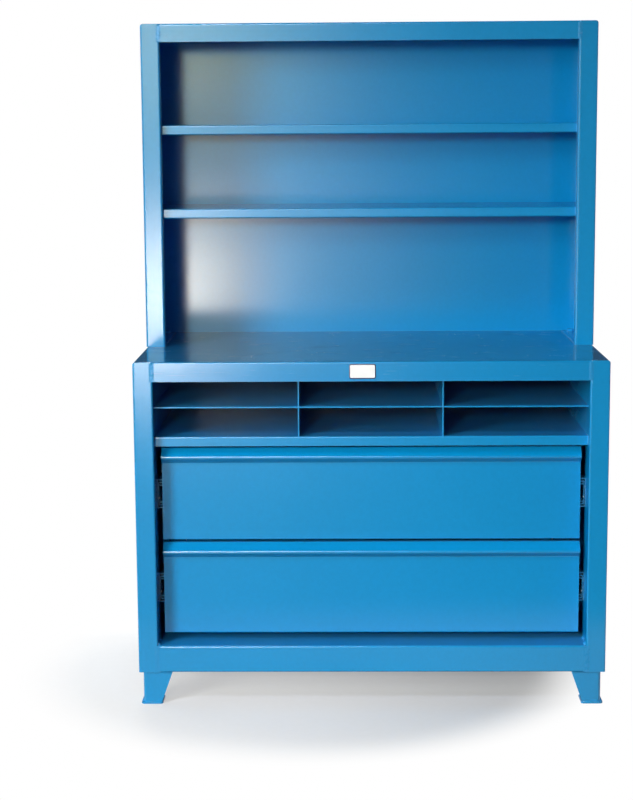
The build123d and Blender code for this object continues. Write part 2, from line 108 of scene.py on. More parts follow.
class Field:
    """A value that varies over a surface. Sums with it add Math nodes."""

    def __init__(self, paint, socket):
        self.paint = paint
        self.socket = socket

    def maths(self, operation, first, second):
        return self.paint.node("ShaderNodeMath", {"operation": operation}, {0: first, 1: second})

    def __add__(self, other):
        return self.maths("ADD", self, other)

    def __radd__(self, other):
        return self.maths("ADD", other, self)

    def __sub__(self, other):
        return self.maths("SUBTRACT", self, other)

    def __rsub__(self, other):
        return self.maths("SUBTRACT", other, self)

    def __mul__(self, other):
        return self.maths("MULTIPLY", self, other)

    def __rmul__(self, other):
        return self.maths("MULTIPLY", other, self)

    def larger(self, other):
        return self.maths("MAXIMUM", self, other)

    def exponential(self):
        return self.maths("EXPONENT", self, 0.0)

    def centred(self):
        """A noise that swings about zero in place of a half."""
        return self - 0.5

    def between(self, start, end):
        """Zero at start, one at end, smooth in between."""
        sockets = {"Value": self, "From Min": start, "From Max": end}
        return self.paint.node("ShaderNodeMapRange", {"interpolation_type": "SMOOTHSTEP"}, sockets)


class Paint:
    """A node tree being built, of a material or of the world."""

    def __init__(self, owner):
        owner.use_nodes = True
        self.owner = owner
        self.tree = owner.node_tree
        self.tree.nodes.clear()

    def node(self, kind, settings=None, sockets=None, output=0):
        """Add a node: its settings first, then a value or a link for each socket."""
        made = self.tree.nodes.new(kind)
        for name, value in (settings or {}).items():
            setattr(made, name, value)
        for name, value in (sockets or {}).items():
            if isinstance(value, Field):
                self.tree.links.new(value.socket, made.inputs[name])
            else:
                made.inputs[name].default_value = value
        return Field(self, made.outputs[output]) if made.outputs else None

    def place(self, stretch=(1.0, 1.0, 1.0)):
        """Object coordinates in metres, each axis scaled."""
        spot = self.node("ShaderNodeTexCoord", output="Object")
        return self.node("ShaderNodeMapping", sockets={"Vector": spot, "Scale": stretch})

    def noise(self, size, detail, stretch=(1.0, 1.0, 1.0)):
        """Noise from zero to one with lumps of about the given size in metres."""
        sockets = {"Vector": self.place(stretch), "Scale": 1 / size, "Detail": detail}
        return self.node("ShaderNodeTexNoise", sockets=sockets, output="Fac")

    def mix(self, share, first, second):
        """A colour between two colours."""
        sockets = {0: share, 6: first, 7: second}
        return self.node("ShaderNodeMix", {"data_type": "RGBA"}, sockets, output=2)

    def vector(self, operation, first, second, output="Vector"):
        """Vector maths on two vectors."""
        settings = {"operation": operation}
        return self.node("ShaderNodeVectorMath", settings, {0: first, 1: second}, output)

    def tinted(self, share, colour):
        """A colour as bright as a share says."""
        sockets = {0: colour, "Scale": share}
        return self.node("ShaderNodeVectorMath", {"operation": "SCALE"}, sockets)

    def along(self, axis):
        """The way along an axis in metres."""
        unit = tuple(float(axis == name) for name in "XYZ")
        return self.vector("DOT_PRODUCT", self.place(), unit, "Value")

    def glow(self, centre, spread):
        """One at a place, falling off as e to minus half the square of the way over the spread."""
        away = self.vector("SUBTRACT", self.place(), centre)
        distance = self.vector("LENGTH", self.vector("DIVIDE", away, spread), (0, 0, 0), "Value")
        return (distance * distance * -0.5).exponential()

    def upward(self):
        """One where a surface lies flat and faces up."""
        normal = self.node("ShaderNodeNewGeometry", output="Normal")
        return self.vector("DOT_PRODUCT", normal, (0, 0, 1), "Value").between(0.75, 0.98)

    def bump(self, height):
        """Normals from a height in metres."""
        return self.node("ShaderNodeBump", sockets={"Height": height, "Distance": 1.0})

    def edge(self, radius):
        """One beside a sharp or tightly bent edge, zero on flat sheet."""
        rounded = self.node("ShaderNodeBevel", {"samples": 6}, {"Radius": radius})
        flat = self.node("ShaderNodeNewGeometry", output="Normal")
        return (1 - self.vector("DOT_PRODUCT", rounded, flat, "Value")).between(0.0, 0.25)

    def principled(self, **sockets):
        """A Principled surface. An underscore in a name stands for a space."""
        named = {name.replace("_", " "): value for name, value in sockets.items()}
        return self.node("ShaderNodeBsdfPrincipled", sockets=named)

    def finished(self, surface):
        """Use a shader as the surface, and hand back its material or world."""
        world = isinstance(self.owner, bpy.types.World)
        kind = "ShaderNodeOutputWorld" if world else "ShaderNodeOutputMaterial"
        self.node(kind, sockets={"Surface": surface})
        return self.owner


def paint_for(name):
    """An empty material to build a finish in."""
    return Paint(bpy.data.materials.new(name))


def enamel(name, colour, settings, gloss=1.0, wear=0.0):
    """Stoved enamel: orange peel, slow waves of the sheet, a mottled film, lighter edges and dust.
    The lighter edges are partly rubbed enamel and partly a painted highlight along the bends.
    The dust on faces that look up is partly real and partly a painted highlight that lightens them.

    Wear adds fine crossing scratches and duller patches, as on a worktop, and paints the faces
    that look up darker, a painted shade.
    """
    paint = paint_for(name)
    film = paint.noise(0.4, 2.0)
    mottle = paint.noise(0.009, 3.0)
    peel = paint.noise(settings.peel_size, 1.0)
    wave = paint.noise(0.26, 1.0)
    edge = paint.edge(0.003)
    wear_and_edge_highlight, dust_and_sheen_tint, worktop_shade_tint = (
        scaled(tint, 1.0) for tint in (settings.wear_and_edge_highlight, settings.dust_and_sheen_colour, settings.worktop_shade)
    )
    tone = 0.5 + film.centred() * 0.6 + mottle.centred() * 0.7
    base = paint.mix(tone, scaled(colour, 0.91), scaled(colour, 1.09))
    # Lighter colour beside every bend, inner creases too: partly rubbed enamel, partly a painted
    # highlight
    base = paint.mix(edge * mottle * 0.3, base, wear_and_edge_highlight)
    # Faces that look up are paler: partly settled dust, partly a painted highlight of light falling
    # from above
    base = paint.mix(paint.upward() * film * settings.dust_and_sheen, base, dust_and_sheen_tint)
    uneven = settings.roughness / gloss + film.centred() * 0.04 + mottle.centred() * 0.05
    rough = uneven + edge * 0.05
    height = peel.centred() * settings.peel_depth + wave.centred() * settings.wave_depth
    if wear:
        # The faces that look up are painted darker, a painted shade on the worktop's top
        base = paint.mix(paint.upward() * (0.3 + film * 0.3), base, worktop_shade_tint)
        along = paint.noise(0.0016, 1.0, (0.02, 1.0, 1.0)).between(0.66, 0.72)
        across = paint.noise(0.0013, 1.0, (1.0, 0.03, 1.0)).between(0.68, 0.73)
        scratch = along.larger(across) * paint.noise(0.07, 2.0).between(0.45, 0.65)
        scratch_depth = 0.00002
        base = paint.mix(scratch * wear, base, wear_and_edge_highlight)
        rough = rough + scratch * 0.2 + paint.noise(0.12, 3.0).between(0.55, 0.75) * 0.08
        height = height - scratch * scratch_depth
    return paint.finished(paint.principled(
        Base_Color=base, Roughness=rough, Specular_IOR_Level=settings.specular,
        Normal=paint.bump(height),
    ))


def drawn_steel(name, colour, rough):
    """Steel with fine lines from front to back, faint blotches and dull spots."""
    paint = paint_for(name)
    line_depth = 0.00004
    lines = paint.noise(0.0011, 2.0, (1.0, 0.02, 1.0))
    blotch = paint.noise(0.03, 3.0)
    tone = lines.centred() * 0.8 + blotch.centred() * 0.8 + 0.5
    base = paint.mix(tone, scaled(colour, 0.78), scaled(colour, 1.12))
    roughness = rough + lines.centred() * 0.16 + blotch.centred() * 0.2
    height = lines.centred() * line_depth
    return paint.finished(paint.principled(
        Base_Color=base, Metallic=1.0, Roughness=roughness, Normal=paint.bump(height),
    ))


def coated_plate(name, colour, rough):
    """Smooth coated sheet with faint darker patches, softly uneven."""
    paint = paint_for(name)
    grain_depth = 0.00002
    patch = paint.noise(0.02, 3.0)
    grain = paint.noise(0.0012, 2.0)
    base = paint.mix(patch * 0.7 + grain * 0.3, scaled(colour, 0.92), scaled(colour, 1.05))
    return paint.finished(paint.principled(
        Base_Color=base, Roughness=rough + patch.centred() * 0.12,
        Normal=paint.bump(grain.centred() * grain_depth),
    ))


# Shapes as grids of points


class Mould:
    """Points and faces of a piece, gathered from sheets of points."""

    def __init__(self):
        self.points = []
        self.faces = []
        self.finishes = []
        self.count = 0

    def add(self, sheets, wrap=False, cap=False, finish=0):
        """Add an array of sheets, copies x rows x columns x 3, joined by faces of four points.

        Wrap joins the last column to the first and cap closes the last row. Seen from outside,
        columns run anticlockwise about rows that run inward.
        """
        sheets = np.asarray(sheets, dtype=float)
        sheets = sheets.reshape(-1, *sheets.shape[-3:])
        number, rows, columns = sheets.shape[:3]
        first = np.arange(number * rows * columns).reshape(number, rows, columns) + self.count
        ends = first[:, -1]
        after = np.roll(first, -1, axis=2)
        if not wrap:
            first, after = first[:, :, :-1], after[:, :, :-1]
        quads = np.stack([first[:, :-1], after[:, :-1], after[:, 1:], first[:, 1:]], axis=-1)
        faces = quads.reshape(-1, 4).tolist() + (ends.tolist() if cap else [])
        self.points.append(sheets.reshape(-1, 3))
        self.faces += faces
        self.finishes += [finish] * len(faces)
        self.count += number * rows * columns

    def piece(self, name, body, slot, *materials):
        """The finished object. It rides on a body and takes the finishes given. The slot is not
        used.
        """
        mesh = bpy.data.meshes.new(name)
        mesh.from_pydata(np.concatenate(self.points).tolist(), [], self.faces)
        for material in materials:
            mesh.materials.append(material)
        mesh.polygons.foreach_set("material_index", self.finishes)
        mesh.shade_smooth()
        mesh.set_sharp_from_angle(angle=SHARP)
        made = bpy.data.objects.new(name, mesh)
        bpy.context.scene.collection.objects.link(made)
        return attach(made, body)


def turned(profile, count, axis):
    """Rings about an axis: each radius and height of a profile taken once round it."""
    axis = np.array(axis, dtype=float)
    side = np.roll(axis, 1)
    angle = np.arange(count)[:, None] / count * 2 * np.pi
    spokes = np.cos(angle) * side + np.sin(angle) * np.cross(axis, side)
    radius, height = np.array(profile, dtype=float).T[:, :, None, None]
    return radius * spokes + height * axis


def copies(shape, places):
    """A shape at each of many places."""
    return shape + np.array(places, dtype=float)[:, None, None, :]


def bead(start, end, wall, floor, size, pitch):
    """A weld in the inside corner along the line from start to end, as a sheet of points.

    Its section is a quarter circle between the normals of the two faces. The radius is the size
    times one plus a tenth of the cosine of the way over the pitch, and runs out at both ends as
    the square root of one minus all but a thousandth of the tenth power of the way from the
    middle.
    """
    fewest_rows, rows_per_ripple, columns = 12, 4, 5
    ripple, run_out = 0.1, 0.999
    start, end, wall, floor = (np.array(part, dtype=float) for part in (start, end, wall, floor))
    length = np.linalg.norm(end - start)
    if np.dot(np.cross(floor, wall), end - start) < 0:
        wall, floor = floor, wall
    along = np.linspace(-1, 1, max(fewest_rows, int(rows_per_ripple * length / pitch)))
    way = (along + 1) / 2
    radius = size * (1 + ripple * np.cos(2 * np.pi * way * length / pitch))
    radius = radius * np.sqrt(1 - run_out * along ** 10)
    angle = np.linspace(0, np.pi / 2, columns)[:, None, None]
    section = np.cos(angle) * wall + np.sin(angle) * floor
    return start + way[:, None] * (end - start) + radius[:, None] * section


def smear(x, face, low_end, high_end, half_width, rise):
    """A ground-off weld over a joint in the front, as a sheet of points.

    Its height is the rise times the squared cosine of the way from the joint, a quarter turn at
    the edge, made uneven by a fine and a coarse sine along the joint, in radians to the metre.
    The edges dip just under the face.
    """
    columns, rows = 13, 30
    fine, coarse, dip = 700, 310, 0.0001
    across = np.linspace(-1, 1, columns)
    up = np.linspace(low_end, high_end, rows)[:, None]
    uneven = 1 + 0.25 * np.sin(up * fine) + 0.2 * np.sin(up * coarse + across * 2)
    height = rise * np.cos(across * np.pi / 2) ** 2 * uneven - dip
    return np.stack([x + across * half_width + 0 * up, face - height, up + 0 * across], axis=-1)


def rounded_plate(width, height, radius, steps):
    """A plate in X and Z that faces the front: outlines from pairs of inset and depth.

    Each outline is a circle of points whose four quarters are moved out to the corners.
    """
    count = 48
    angle = (np.arange(count) + 0.5) / count * 2 * np.pi
    rows = []
    for inset, depth in steps:
        bend = radius - inset
        x = np.cos(angle) * bend + np.sign(np.cos(angle)) * (width / 2 - radius)
        z = np.sin(angle) * bend + np.sign(np.sin(angle)) * (height / 2 - radius)
        rows.append(np.stack([x, np.full_like(x, -depth), z], axis=-1))
    return np.array(rows)


# Property groups


def colour_property(name, description, colour):
    return bpy.props.FloatVectorProperty(
        name=name, description=description, subtype="COLOR", size=3, min=0, max=1, default=colour,
    )


def length_property(name, description, length):
    return bpy.props.FloatProperty(
        name=name, description=description, default=length, min=0, precision=5,
        subtype="DISTANCE", unit="LENGTH",
    )


def share_property(name, description, share):
    return bpy.props.FloatProperty(
        name=name, description=description, default=share, min=0, max=1, subtype="FACTOR",
    )


def level_property(name, description, level):
    return bpy.props.FloatProperty(name=name, description=description, default=level, min=0)


class EnamelSettings(bpy.types.PropertyGroup):
    """Colours and texture of the enamel."""

    base: colour_property(
        "Base blue", "Enamel of base, drawers and hutch", screen_colour(5, 143, 204),
    )
    worktop: colour_property("Worktop blue", "Enamel of the worktop", screen_colour(7, 139, 200))
    # Darker than the cabinet's blue: the rails are enamelled, and the darker tone is a painted
    # shade of the gaps beside the drawers
    slides: colour_property("Slide blue", "Enamel of the slide rails", screen_colour(12, 104, 150))
    touch_up: colour_property(
        "Touch-up", "Paint over the ground-off welds", screen_colour(22, 140, 200),
    )
    # Lighter colour of rubbed enamel and scratches; on the bends it is also a painted highlight
    wear_and_edge_highlight: colour_property(
        "Rubbed edges", "Colour of enamel thinned by rubbing", screen_colour(120, 185, 220),
    )
    # Colour that the worktop's top is painted darker with, a painted shade
    worktop_shade: colour_property(
        "Grime", "Colour of the film of oil on the worktop", screen_colour(28, 66, 84),
    )
    # Paler film on faces that look up: partly dust, partly a painted highlight
    dust_and_sheen: share_property("Dust", "Dust on faces that look up", 0.16)
    dust_and_sheen_colour: colour_property(
        "Dust colour", "Colour of settled dust", screen_colour(150, 165, 170),
    )
    roughness: share_property("Roughness", "Roughness of the enamel film", 0.16)
    specular: share_property("Specular level", "Strength of reflections head on", 0.5)
    peel_size: length_property("Peel size", "Width of one dimple of the orange peel", 0.004)
    peel_depth: length_property("Peel depth", "Depth of the orange peel", 0.000006)
    wave_depth: length_property("Wave depth", "Depth of the slow waves in the sheets", 0.0003)


class PieceSettings(bpy.types.PropertyGroup):
    """Sizes and colours of the small pieces."""

    cages: colour_property(
        "Dark steel", "Ball cages, slide screws and stops", screen_colour(64, 68, 72),
    )
    zinc: colour_property("Zinc", "Rivets of the drawers", screen_colour(188, 190, 192))
    balls: colour_property("Ball steel", "Balls of the slides", screen_colour(205, 208, 210))
    plate_rim: colour_property("Plate rim", "Rim of the name plate", screen_colour(34, 52, 86))
    plate_face: colour_property(
        "Plate face", "Face of the name plate", screen_colour(246, 246, 246),
    )
    weld: length_property("Weld", "Size of the welds", 0.003)
    weld_pitch: length_property("Weld pitch", "Length of one ripple of a weld", 0.0034)
    smear_width: length_property("Ground weld", "Half the width of a ground-off weld", 0.009)
    smear_rise: length_property("Ground weld rise", "Height left of a ground-off weld", 0.0005)
    screw: length_property("Screw head", "Radius of the screw heads in the slides", 0.0045)
    rivet: length_property("Rivet head", "Radius of the rivet heads in the drawers", 0.004)
    washer: length_property("Washer", "Radius of the washers under the bolts", 0.0118)
    ball: length_property("Ball", "Radius of the balls in the slides", 0.0025)
    ball_pitch: length_property("Ball pitch", "Distance from ball to ball", 0.02)
    plate_width: length_property("Plate width", "Width of the bare name plate", 0.0687)
    plate_height: length_property("Plate height", "Height of the bare name plate", 0.0384)
    plate_centre: bpy.props.FloatVectorProperty(
        name="Plate centre", description="Middle of the plate across and up",
        subtype="TRANSLATION", unit="LENGTH", size=2, default=(-0.0213, 0.8798),
    )


class StudioSettings(bpy.types.PropertyGroup):
    """Camera and lamps."""

    camera_place: bpy.props.FloatVectorProperty(
        name="Camera place", description="Where the camera stands", subtype="TRANSLATION",
        unit="LENGTH", size=3, default=(-0.0492, -4.8578, 1.4962),
    )
    camera_turn: bpy.props.FloatVectorProperty(
        name="Camera turn", description="Yaw to the right, pitch down and roll",
        subtype="EULER", unit="ROTATION", size=3,
        default=tuple(math.radians(angle) for angle in (-1.14, 8.683, -0.402)),
    )
    focal_pixels: bpy.props.FloatProperty(
        name="Focal length", description="In pixels of an image 800 pixels high", default=1787.3,
    )
    key: level_property("Key lamp", "Light from beside the camera", 0.39)
    left: level_property("Left lamp", "Soft light from the left", 0.68)
    high: level_property("High lamp", "Light from above the front", 0.3)
    top: level_property("Top lamp", "Light from above the back", 0.5)
    right: level_property("Right lamp", "Light from the right and behind", 0.55)
    back: level_property("Back lamps", "Light from behind on both sides", 0.3)
    ambient: share_property("Ambient", "Light from all round", 0.045)


# Operators


def give(nodes, material):
    """Put a finish on solids."""
    for name in nodes:
        for slot in NODES[name].material_slots:
            slot.material = material


def starting(*starts):
    """Names of the solids that start with any of the words."""
    return [name for name in NODES if name.startswith(starts)]


class CABINET_OT_enamel(bpy.types.Operator):
    """Paint the folded sheets of base, drawers and hutch"""

    bl_idname = "cabinet.enamel"
    bl_label = "Enamel"

    def execute(self, context):
        settings = context.scene.cabinet_enamel
        blue = enamel("blue_enamel", settings.base, settings)
        painted = ("base_", "slide_upright", "leg_", "foot_pad", "cubby_", "drawer_", "hutch_")
        give(starting(*painted, "shelf_brackets"), blue)
        wear_and_edge_highlight = enamel("worktop_enamel", settings.worktop, settings, gloss=1.3, wear=0.1)
        give(["worktop"], wear_and_edge_highlight)
        return {"FINISHED"}


class CABINET_OT_steel(bpy.types.Operator):
    """Paint the slide rails and finish the ball cages in dark steel"""

    bl_idname = "cabinet.steel"
    bl_label = "Steel"

    def execute(self, context):
        film = context.scene.cabinet_enamel
        # The rails take a darker blue, a painted shade for the gaps beside the drawers
        blue = enamel("slide_shade_enamel", film.slides, film, gloss=0.6)
        dark = drawn_steel("cage_steel", context.scene.cabinet_pieces.cages, rough=0.45)
        give([name for name in NODES if name.endswith("_rail")], blue)
        give([name for name in NODES if name.endswith("_cages")], dark)
        return {"FINISHED"}


class CABINET_OT_name_plate(bpy.types.Operator):
    """Put the bare plate with its dark rim on the worktop rail"""

    bl_idname = "cabinet.name_plate"
    bl_label = "Name plate"

    def execute(self, context):
        settings = context.scene.cabinet_pieces
        x, z = settings.plate_centre
        corner, bevel, dip = 0.0058, 0.0002, 0.0001
        rim_width, rim_depth, face_depth = 0.0026, 0.0006, 0.00045
        crown_inset, crown_depth = 0.0032, 0.00048
        size = (settings.plate_width, settings.plate_height, corner)
        centre = np.array([x, BASE_FRONT, z])
        rim = [
            (0, -dip), (0, face_depth), (bevel, rim_depth), (rim_width - dip, rim_depth),
            (rim_width, face_depth),
        ]
        face = [(rim_width, face_depth), (crown_inset, crown_depth)]
        plate = Mould()
        plate.add(centre + rounded_plate(*size, rim), wrap=True)
        plate.add(centre + rounded_plate(*size, face), wrap=True, cap=True, finish=1)
        dark = coated_plate("plate_rim", settings.plate_rim, rough=0.4)
        pale = coated_plate("plate_face", settings.plate_face, rough=0.35)
        plate.piece("name_plate", "cabinet", "bolt_steel", dark, pale)
        return {"FINISHED"}


class CABINET_OT_welds(bpy.types.Operator):
    """Weld ledge, pigeonholes, shelves, legs and pads, and smear the ground-off joints"""

    bl_idname = "cabinet.welds"
    bl_label = "Welds"

    def execute(self, context):
        settings = context.scene.cabinet_pieces
        blue = bpy.data.materials["blue_enamel"]
        welds = Mould()
        for side in (-1, 1):
            for start, end, wall, floor, share in self.corner_lines(side):
                welds.add(bead(start, end, wall, floor, share * settings.weld, settings.weld_pitch))
        welds.piece("weld_beads", "cabinet", "body_enamel", blue)
        smears = Mould()
        for side in (-1, 1):
            x = side * (POST + BODY_BEND / 2)
            for face, node, top_gap in (
                (HUTCH_FRONT, "hutch_top", BODY_BEND), (BASE_FRONT, "worktop", BODY_BEND),
                (BASE_FRONT, "base_floor_pan", 0.0),
            ):
                ends = (low(node).z, high(node).z - top_gap)
                smears.add(smear(x, face, *ends, settings.smear_width, settings.smear_rise))
        film = context.scene.cabinet_enamel
        dull = enamel("touched_up_enamel", film.touch_up, film, gloss=0.6)
        smears.piece("ground_welds", "cabinet", "body_enamel", dull)
        return {"FINISHED"}

    def corner_lines(self, side):
        """Start, end, the two normals and the share of the full size of every weld on one side."""
        inner = side * POST
        inward, outward = (-side, 0, 0), (side, 0, 0)
        up, down, front = (0, 0, 1), (0, 0, -1), (0, -1, 0)
        lines = []
        # On the ledge, by start and end behind the front and share
        for start, end, share in ((0.005, 0.02, 1.9), (0.062, 0.079, 1.1)):
            ends = (inner, BASE_FRONT + start, LEDGE), (inner, BASE_FRONT + end, LEDGE)
            lines.append((*ends, inward, up, share))
        # Under the front of the hutch
        ends = (side * HALF_WIDTH, HUTCH_FRONT, WORKTOP), (inner, HUTCH_FRONT, WORKTOP)
        lines.append((*ends, front, up, 0.45))
        # Up the front lips, by the gaps below and above and share
        for node, below, above, share in (
            ("cubby_floor_shelf", 0.002, 0.003, 0.8),
            ("hutch_lower_shelf", 0.003, 0.004, 0.6), ("hutch_upper_shelf", 0.003, 0.004, 0.6),
        ):
            y = low(node).y
            ends = (inner, y, low(node).z + below), (inner, y, high(node).z - above)
            lines.append((*ends, inward, front, share))
        # Along the middle shelf of the pigeonholes, at the underside of its sheet
        inset, reach = 0.004, 0.02
        edge, z = low("cubby_mid_shelf").y, high("cubby_mid_shelf").z - SHELF_SHEET
        lines.append(((inner, edge + inset, z), (inner, edge + reach, z), inward, up, 0.6))
        return lines + self.leg_lines(side, outward, up, down)

    def leg_lines(self, side, outward, up, down):
        """Welds of the two legs on one side, to the flanges above and to the pads below."""
        bend, front_reach, pad_inset = 0.008, 0.046, 0.017
        lines = []
        word = "left" if side < 0 else "right"
        outer, inner = (low, high) if side < 0 else (high, low)
        for end, facing in (("front", -1), ("rear", 1)):
            near, far = (low, high) if facing < 0 else (high, low)
            leg, pad = f"leg_{end}_{word}", f"foot_pad_{end}_{word}"
            across = (0, facing, 0)
            x, x_end = outer(leg).x, inner(leg).x
            y, y_end = near(leg).y, far(leg).y
            corner_x, corner_y = x - side * bend, y - facing * bend
            pad_x = x - side * front_reach
            pad_y = far(pad).y + facing * pad_inset
            lines += [
                ((x, corner_y, UNDERSIDE), (x, y_end, UNDERSIDE), outward, down, 1.3),
                ((corner_x, y, UNDERSIDE), (x_end, y, UNDERSIDE), across, down, 0.9),
                ((x, corner_y, PAD_TOP), (x, pad_y, PAD_TOP), outward, up, 1.3),
                ((corner_x, y, PAD_TOP), (pad_x, y, PAD_TOP), across, up, 0.6),
            ]
        return lines


class CABINET_OT_screws(bpy.types.Operator):
    """Add the screws and rivets of the slides and the washers under the bolts"""

    bl_idname = "cabinet.screws"
    bl_label = "Screws and rivets"

    def execute(self, context):
        settings = context.scene.cabinet_pieces
        bright = drawn_steel("screw_zinc", settings.zinc, rough=0.32)
        dark = bpy.data.materials["cage_steel"]
        rivet_rise, stop_radius, stop_rise = 0.0016, 0.0026, 0.0014
        screw_sides, rivet_sides, washer_sides = 20, 16, 32
        heads, washers = Mould(), Mould()
        for level in ("upper", "lower"):
            rivets, ends = Mould(), Mould()
            for side, word in ((-1, "left"), (1, "right")):
                inward = (-side, 0, 0)
                head = turned(self.flat_head(settings.screw), screw_sides, inward)
                rivet = turned(self.dome(settings.rivet, rivet_rise), rivet_sides, inward)
                stop = turned(self.dome(stop_radius, stop_rise), rivet_sides, inward)
                heads.add(copies(head, self.screw_places(level, word, side)), wrap=True, cap=True)
                rivets.add(copies(rivet, self.rivet_places(level, side)), wrap=True, cap=True)
                ends.add(copies(stop, self.stop_places(level, word, side)), wrap=True, cap=True)
            rivets.piece(f"drawer_{level}_rivets", f"drawer_{level}", "zinc_steel", bright)
            ends.piece(f"slide_{level}_stops", f"middle_rails_{level}", "zinc_steel", dark)
        heads.piece("slide_screws", "cabinet", "zinc_steel", dark)
        ring = turned(self.ring(settings.washer), washer_sides, (0, 0, 1))
        washers.add(copies(ring, self.bolt_places()), wrap=True)
        washers.piece("bolt_washers", "cabinet", "bolt_steel", bpy.data.materials["blue_enamel"])
        return {"FINISHED"}

    def ring(self, radius):
        """Profile of a washer: up its rim, over the bevelled edge and in below the bolt's head."""
        rim, bevel, thickness, width = 0.0011, 0.0004, 0.0014, 0.0034
        return [
            (radius, 0), (radius, rim), (radius - bevel, thickness), (radius - width, thickness),
        ]

    def dome(self, radius, height):
        """Profile of a domed head: a quarter wave from the rim almost to the crown."""
        crown, rings = 0.47 * np.pi, 6
        turn = np.linspace(0, crown, rings)
        return np.stack([radius * np.cos(turn), height * np.sin(turn)], axis=-1)

    def flat_head(self, radius):
        """Profile of a low head with a round recess, as shares of the radius and the rise."""
        rise = 0.0006
        shares = ((1.0, 0.0), (0.96, 0.5), (0.8, 0.9), (0.42, 1.0), (0.36, 0.6), (0.1, 0.45))
        return [(radius * share, rise * height) for share, height in shares]

    def screw_places(self, level, word, side):
        """Screws through the web of an outer rail, at the post and at both uprights."""
        end_inset, end_rise = 0.009, 0.014
        off_middle, off_axis = 0.013, 0.012
        rail = f"slide_{level}_{word}_outer_rail"
        x = side * (POST - RAIL_SHEET)
        y = low(rail).y + end_inset
        z = (low(rail).z + high(rail).z) / 2
        places = [(x, y, z + end_rise), (x, y, z - end_rise)]
        for place in ("middle", "rear"):
            upright = f"slide_upright_{word}_{place}"
            y = (low(upright).y + high(upright).y) / 2
            places += [(x, y - off_middle, z + off_axis), (x, y + off_middle, z - off_axis)]
        return places

    def rivet_places(self, level, side):
        """Rivets inside a drawer's side, that hold the inner rail."""
        front_inset, back_inset, number = 0.03, 0.04, 6
        body = f"drawer_{level}_body"
        rail = f"slide_{level}_left_inner_rail"
        x = side * (high(body).x - SHELF_SHEET)
        ways = np.linspace(low(body).y + front_inset, high(body).y - back_inset, number)
        z = (low(rail).z + high(rail).z) / 2
        return [(x, y, z) for y in ways]

    def stop_places(self, level, word, side):
        """A rivet near the front end of each middle rail."""
        end_inset, drop = 0.005, 0.012
        rail = f"slide_{level}_{word}_middle_rail"
        x = (low(rail).x if side < 0 else high(rail).x) - side * RAIL_SHEET
        z = (low(rail).z + high(rail).z) / 2
        return [(x, low(rail).y + end_inset, z - drop)]

    def bolt_places(self):
        """Seats of the four bolts on the bottom flanges of the hutch."""
        flats, corner = 0.0085, 0.0098
        ends = (low("hutch_bolts").y + flats, high("hutch_bolts").y - flats)
        x = high("hutch_bolts").x - corner
        return [(side * x, y, WORKTOP + BODY_SHEET) for side in (-1, 1) for y in ends]


class CABINET_OT_ball_cages(bpy.types.Operator):
    """Put scalloped cages with round balls in place of the plain ones"""

    bl_idname = "cabinet.ball_cages"
    bl_label = "Ball cages"

    def execute(self, context):
        settings = context.scene.cabinet_pieces
        dark = bpy.data.materials["cage_steel"]
        shine = drawn_steel("ball_steel", settings.balls, rough=0.14)
        for level in ("upper", "lower"):
            for member in ("outer", "inner"):
                node, body = f"slide_{level}_{member}_ball_cages", f"{member}_cages_{level}"
                cages = Mould()
                self.fill(cages, low(node), high(node), settings)
                made = cages.piece(f"{node}_fine", body, "cage_steel", dark, shine)
                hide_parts(node)
        return {"FINISHED"}

    def fill(self, cages, lowest, highest, settings):
        """Four strips with their balls, within the box of the plain cages.

        A strip is wider at each ball by a cosine of the way over the pitch. A ball is a half
        circle turned about its axis, from just past one pole to just before the other.
        """
        half_width, half_sheet = 0.0033, 0.0006
        steps_per_ball, waist = 8, 0.14
        ball_rings, ball_sides, pole = 9, 12, 0.48 * np.pi
        row_inset = settings.ball * math.sqrt(0.5)
        length = highest.y - lowest.y
        number = int(length / settings.ball_pitch)
        way = np.linspace(0, length, number * steps_per_ball + 1)
        ripple = 1 - waist - waist * np.cos(2 * np.pi * way / length * number)
        corners = np.array([(1, -1), (1, 1), (-1, 1), (-1, -1)])
        strip = np.stack([
            corners[:, :1] * half_width * ripple, np.broadcast_to(way, (4, len(way))),
            corners[:, 1:] * half_sheet + 0 * way,
        ], axis=-1).transpose(1, 0, 2)[::-1]
        turn = np.linspace(-pole, pole, ball_rings)
        profile = np.stack([settings.ball * np.cos(turn), settings.ball * np.sin(turn)], axis=-1)
        ball = turned(profile, ball_sides, (0, 0, 1))
        spots = (np.arange(number) + 0.5) * length / number
        for x in (lowest.x + half_width, highest.x - half_width):
            for z in (lowest.z + row_inset, highest.z - row_inset):
                cages.add(strip + np.array([x, lowest.y, z]), wrap=True)
                places = np.stack([x + 0 * spots, lowest.y + spots, z + 0 * spots], axis=-1)
                cages.add(copies(ball, places), wrap=True, cap=True, finish=1)


def area_lamp(name, place, target, size, level, spread=math.pi, colour=(1, 1, 1)):
    """A soft box that reflections don't show. A white sheet facing it renders at the level.

    With a spread the light fades from the middle to the rim of a cone. That makes the middle
    brighter by the tangent of half the spread over itself less that half angle.
    """
    place, target = Vector(place), Vector(target)
    half = spread / 2
    lamp = bpy.data.lights.new(name, "AREA")
    lamp.shape = "SQUARE"
    lamp.size = size
    lamp.color = colour
    lamp.spread = spread
    dimming = 1 - half / math.tan(half)
    lamp.energy = level * dimming * math.pi ** 2 * (target - place).length_squared
    holder = bpy.data.objects.new(name, lamp)
    bpy.context.scene.collection.objects.link(holder)
    holder.location = place
    holder.rotation_euler = (target - place).to_track_quat("-Z", "Y").to_euler()
    holder.visible_glossy = False


